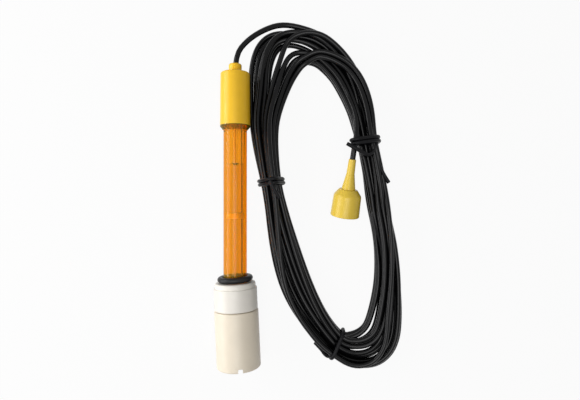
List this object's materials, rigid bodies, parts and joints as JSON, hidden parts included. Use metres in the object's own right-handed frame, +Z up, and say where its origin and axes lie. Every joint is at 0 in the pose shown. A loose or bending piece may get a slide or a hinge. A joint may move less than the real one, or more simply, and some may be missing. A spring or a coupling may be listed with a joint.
{
  "type": "redox electrode",
  "caption": "Laboratory redox probe with a clear amber stem, yellow head, white storage bottle and cap, and a tied black cable with a bayonet plug.",
  "frame": {"origin": "on the surface that the probe lies on, under the middle of the probe and its bottle", "axes": "+Y along the probe from the storage bottle to the cable neck, +Z up, +X towards the tied cable"},
  "size_m": [0.0989, 0.1847, 0.0225],
  "materials": {
    "yellow_moulding": "satin moulded plastic",
    "amber_moulding": "clear tinted plastic, polished",
    "clear_glass": "drawn tube, clear",
    "gel": "clear soft gel",
    "platinum": "bright drawn pin",
    "silver_wire": "dull coated silver wire",
    "copper_lead": "drawn copper",
    "resin": "cast resin",
    "seal_plastic": "moulded plastic",
    "ceramic": "porous ceramic",
    "ring_rubber": "moulded rubber, satin",
    "seal_rubber": "moulded rubber, matt",
    "white_moulding": "smooth moulded plastic",
    "cable_jacket": "extruded jacket, satin",
    "tie_jacket": "extruded jacket, satin",
    "grip_moulding": "satin moulded plastic",
    "plated_brass": "plated, bright",
    "gold_pin": "plated, bright",
    "insulator": "turned plastic",
    "gasket_rubber": "moulded rubber, matt"
  },
  "bodies": {
    "electrode": {"head_shell": "yellow_moulding", "cable_clamp": "plated_brass", "signal_lead": "copper_lead", "screen_lead": "copper_lead", "head_potting": "resin", "stem_body": "amber_moulding", "inner_glass_tube": "clear_glass", "inner_lead": "silver_wire", "platinum_tip": "platinum", "reference_wire": "silver_wire", "reference_gel": "gel", "centring_ring": "seal_plastic", "tip_seal": "seal_plastic", "ceramic_junction": "ceramic", "cable_lead": "cable_jacket", "cable_hank": "cable_jacket", "cable_tail": "cable_jacket", "tie_left": "tie_jacket", "tie_right": "tie_jacket", "tie_bottom": "tie_jacket", "plug_boot": "grip_moulding", "plug_body": "plated_brass", "plug_insulator": "insulator", "plug_pin": "gold_pin", "plug_lead": "copper_lead", "plug_gasket": "gasket_rubber", "spring_washer": "plated_brass", "crimp_ferrule": "plated_brass"},
    "ring": {"stem_o_ring": "ring_rubber"},
    "cap": {"storage_cap": "white_moulding"},
    "seal": {"cap_seal": "seal_rubber"},
    "bottle": {"storage_bottle": "white_moulding"},
    "coupling": {"bayonet_nut": "plated_brass", "plug_grip": "grip_moulding"}
  },
  "joints": [
    {"name": "ring_slide", "type": "slide", "parent": "electrode", "child": "ring", "axis": [0, 1, 0], "range_m": [0, 0.073]},
    {"name": "cap_slide", "type": "slide", "parent": "electrode", "child": "cap", "axis": [0, -1, 0], "range_m": [0, 0.06]},
    {"name": "bottle_travel", "type": "slide", "parent": "cap", "child": "seal", "axis": [0.0454, -0.999, 0], "range_m": [0, 0.0045]},
    {"name": "bottle_turn", "type": "hinge", "parent": "seal", "child": "bottle", "pos_m": [0.00003, -0.06032, 0.01125], "axis": [0.0454, -0.999, 0], "range_deg": [0, 540]},
    {"name": "nut_turn", "type": "hinge", "parent": "electrode", "child": "coupling", "pos_m": [0.0555, -0.0005, 0.00739], "axis": [0.109, 0.9721, 0.2079], "continuous": true}
  ],
  "couplings": [
    {"joint": "bottle_travel", "follows": "bottle_turn", "m_per_rad": 0.00047746}
  ]
}
